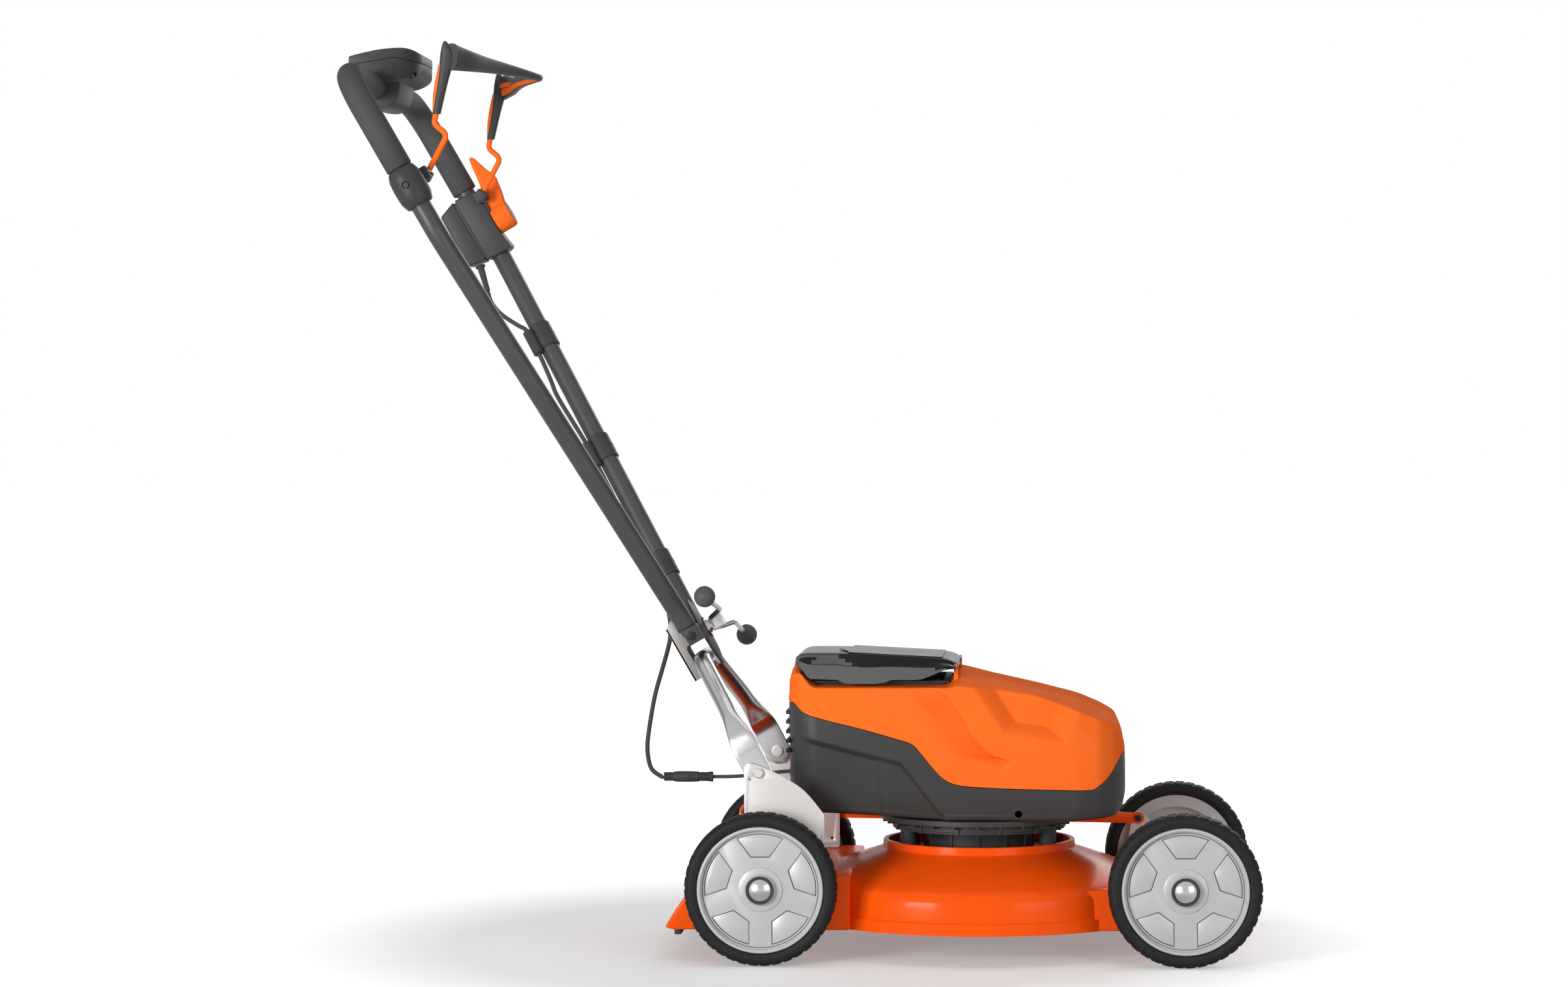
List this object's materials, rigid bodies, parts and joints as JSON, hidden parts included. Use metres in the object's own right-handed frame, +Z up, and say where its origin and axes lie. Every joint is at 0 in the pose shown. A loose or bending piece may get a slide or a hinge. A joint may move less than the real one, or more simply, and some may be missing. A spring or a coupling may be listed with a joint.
{
  "type": "cordless lawn mower",
  "caption": "Walk-behind cordless lawn mower with a round cast deck, spoked wheels on swing axles, a battery housing and a folding V-shaped handle with a hold-down bail.",
  "frame": {"origin": "centre of the machine's bounding box, on the ground under the wheels", "axes": "+X points forward in the mowing direction, +Y to the operator's left, +Z up"},
  "size_m": [1.275, 0.617, 1.275],
  "materials": {
    "orange_coat": "glossy orange powder coat",
    "orange_casting": "cast aluminium under a glossy orange powder coat",
    "orange_plastic": "satin orange moulded plastic",
    "black_plastic": "satin black moulded plastic",
    "smoked_plastic": "glossy smoked black plastic",
    "tyre_rubber": "matte black tyre rubber",
    "soft_rubber": "matte black rubber and foam",
    "rim_plastic": "silver-grey moulded plastic",
    "tube_coat": "dark grey satin powder coat",
    "chrome": "bright chrome plating",
    "zinc_steel": "white zinc plating",
    "dark_steel": "darkened steel",
    "cast_aluminium": "dull cast aluminium",
    "stator_stack": "laminated steel with copper windings",
    "board_green": "green circuit board"
  },
  "bodies": {
    "deck": {"deck_shell": "orange_casting", "rear_apron": "soft_rubber", "motor_base": "cast_aluminium", "motor_can": "cast_aluminium", "motor_stator": "stator_stack", "bearing_upper": "dark_steel", "bearing_lower": "dark_steel", "controller_board": "board_green", "lower_housing": "black_plastic", "hood": "orange_plastic", "battery_tray": "black_plastic", "battery_pack": "black_plastic", "rear_bracket_right": "zinc_steel", "rear_bracket_left": "zinc_steel", "handle_bolt_right": "dark_steel", "handle_bolt_left": "dark_steel"},
    "front_axle": {"front_axle": "zinc_steel"},
    "rear_axle": {"rear_axle": "zinc_steel"},
    "height_link": {"height_link": "orange_coat"},
    "wheel_front_right": {"tyre_front_right": "tyre_rubber", "rim_front_right": "rim_plastic"},
    "wheel_front_left": {"tyre_front_left": "tyre_rubber", "rim_front_left": "rim_plastic"},
    "wheel_rear_right": {"tyre_rear_right": "tyre_rubber", "rim_rear_right": "rim_plastic"},
    "wheel_rear_left": {"tyre_rear_left": "tyre_rubber", "rim_rear_left": "rim_plastic"},
    "blade": {"blade_shaft": "dark_steel", "blade_hub": "cast_aluminium", "blade": "dark_steel", "blade_bolt": "zinc_steel"},
    "battery_lid": {"battery_lid": "smoked_plastic"},
    "lower_handle": {"lower_handle_tube": "chrome", "clamp_channel": "zinc_steel", "fold_bolt": "dark_steel", "clamp_disc": "black_plastic", "cord_hanging": "soft_rubber", "cord_connector": "black_plastic", "cord_tail": "soft_rubber"},
    "clamp_lever": {"clamp_lever": "chrome", "lever_knob_right": "black_plastic", "lever_knob_left": "black_plastic"},
    "upper_handle": {"upper_handle_tube": "tube_coat", "fold_lug_right": "black_plastic", "fold_lug_left": "black_plastic", "grip_sleeve": "soft_rubber", "control_panel": "black_plastic", "collar_right": "black_plastic", "switch_box": "black_plastic", "clip_upper": "black_plastic", "clip_middle": "black_plastic", "clip_lower": "black_plastic", "strain_relief": "soft_rubber", "cable_upper": "soft_rubber"},
    "bail": {"bail_wire": "orange_coat", "bail_cover": "black_plastic", "bail_foot_right": "black_plastic", "bail_foot_left": "black_plastic"},
    "speed_lever": {"speed_lever": "orange_plastic"},
    "power_button": {"power_button": "orange_plastic"}
  },
  "joints": [
    {"name": "front_axle_lift", "type": "hinge", "parent": "deck", "child": "front_axle", "pos_m": [0.4725, 0, 0.118], "axis": [0, -1, 0], "range_deg": [-20, 18]},
    {"name": "rear_axle_lift", "type": "hinge", "parent": "deck", "child": "rear_axle", "pos_m": [-0.1065, 0, 0.1265], "axis": [0, -1, 0], "range_deg": [-20, 18]},
    {"name": "link_pivot", "type": "hinge", "parent": "front_axle", "child": "height_link", "pos_m": [0.4761, 0.1925, 0.16], "axis": [0, -1, 0], "range_deg": [-18, 20]},
    {"name": "wheel_spin_front_right", "type": "hinge", "parent": "front_axle", "child": "wheel_front_right", "pos_m": [0.5325, -0.23, 0.105], "axis": [0, 1, 0], "continuous": true},
    {"name": "wheel_spin_front_left", "type": "hinge", "parent": "front_axle", "child": "wheel_front_left", "pos_m": [0.5325, 0.23, 0.105], "axis": [0, 1, 0], "continuous": true},
    {"name": "wheel_spin_rear_right", "type": "hinge", "parent": "rear_axle", "child": "wheel_rear_right", "pos_m": [-0.0465, -0.23, 0.105], "axis": [0, 1, 0], "continuous": true},
    {"name": "wheel_spin_rear_left", "type": "hinge", "parent": "rear_axle", "child": "wheel_rear_left", "pos_m": [-0.0465, 0.23, 0.105], "axis": [0, 1, 0], "continuous": true},
    {"name": "blade_spin", "type": "hinge", "parent": "deck", "child": "blade", "pos_m": [0.2469, 0, 0.06], "axis": [0, 0, 1], "continuous": true},
    {"name": "lid_hinge", "type": "hinge", "parent": "deck", "child": "battery_lid", "pos_m": [0.218, 0, 0.4015], "axis": [0, 1, 0], "range_deg": [0, 80]},
    {"name": "handle_tilt", "type": "hinge", "parent": "deck", "child": "lower_handle", "pos_m": [-0.053, 0, 0.259], "axis": [0, 1, 0], "range_deg": [-6, 6], "deforming": ["cord_tail"]},
    {"name": "clamp_turn", "type": "hinge", "parent": "lower_handle", "child": "clamp_lever", "pos_m": [-0.14034, 0, 0.45117], "axis": [0.8669, 0, 0.4985], "range_deg": [0, 90]},
    {"name": "handle_fold", "type": "hinge", "parent": "lower_handle", "child": "upper_handle", "pos_m": [-0.15757, 0, 0.44241], "axis": [0, 1, 0], "range_deg": [-80, 45], "deforming": ["cord_hanging"]},
    {"name": "bail_close", "type": "hinge", "parent": "upper_handle", "child": "bail", "pos_m": [-0.49933, 0, 1.0859], "axis": [0, -1, 0], "range_deg": [0, 33], "stiffness_Nm_per_rad": 1.5, "springref_deg": -17.19},
    {"name": "speed_turn", "type": "hinge", "parent": "upper_handle", "child": "speed_lever", "pos_m": [-0.48366, 0.281, 1.04761], "axis": [-0.8669, 0, -0.4985], "range_deg": [0, 40]},
    {"name": "button_press", "type": "slide", "parent": "upper_handle", "child": "power_button", "axis": [0.2365, 0, -0.9716], "range_m": [0, 0.0015], "stiffness_N_per_m": 800, "springref_m": -0.001}
  ],
  "couplings": [
    {"joint": "rear_axle_lift", "follows": "front_axle_lift", "ratio": 1},
    {"joint": "link_pivot", "follows": "front_axle_lift", "ratio": -1}
  ]
}
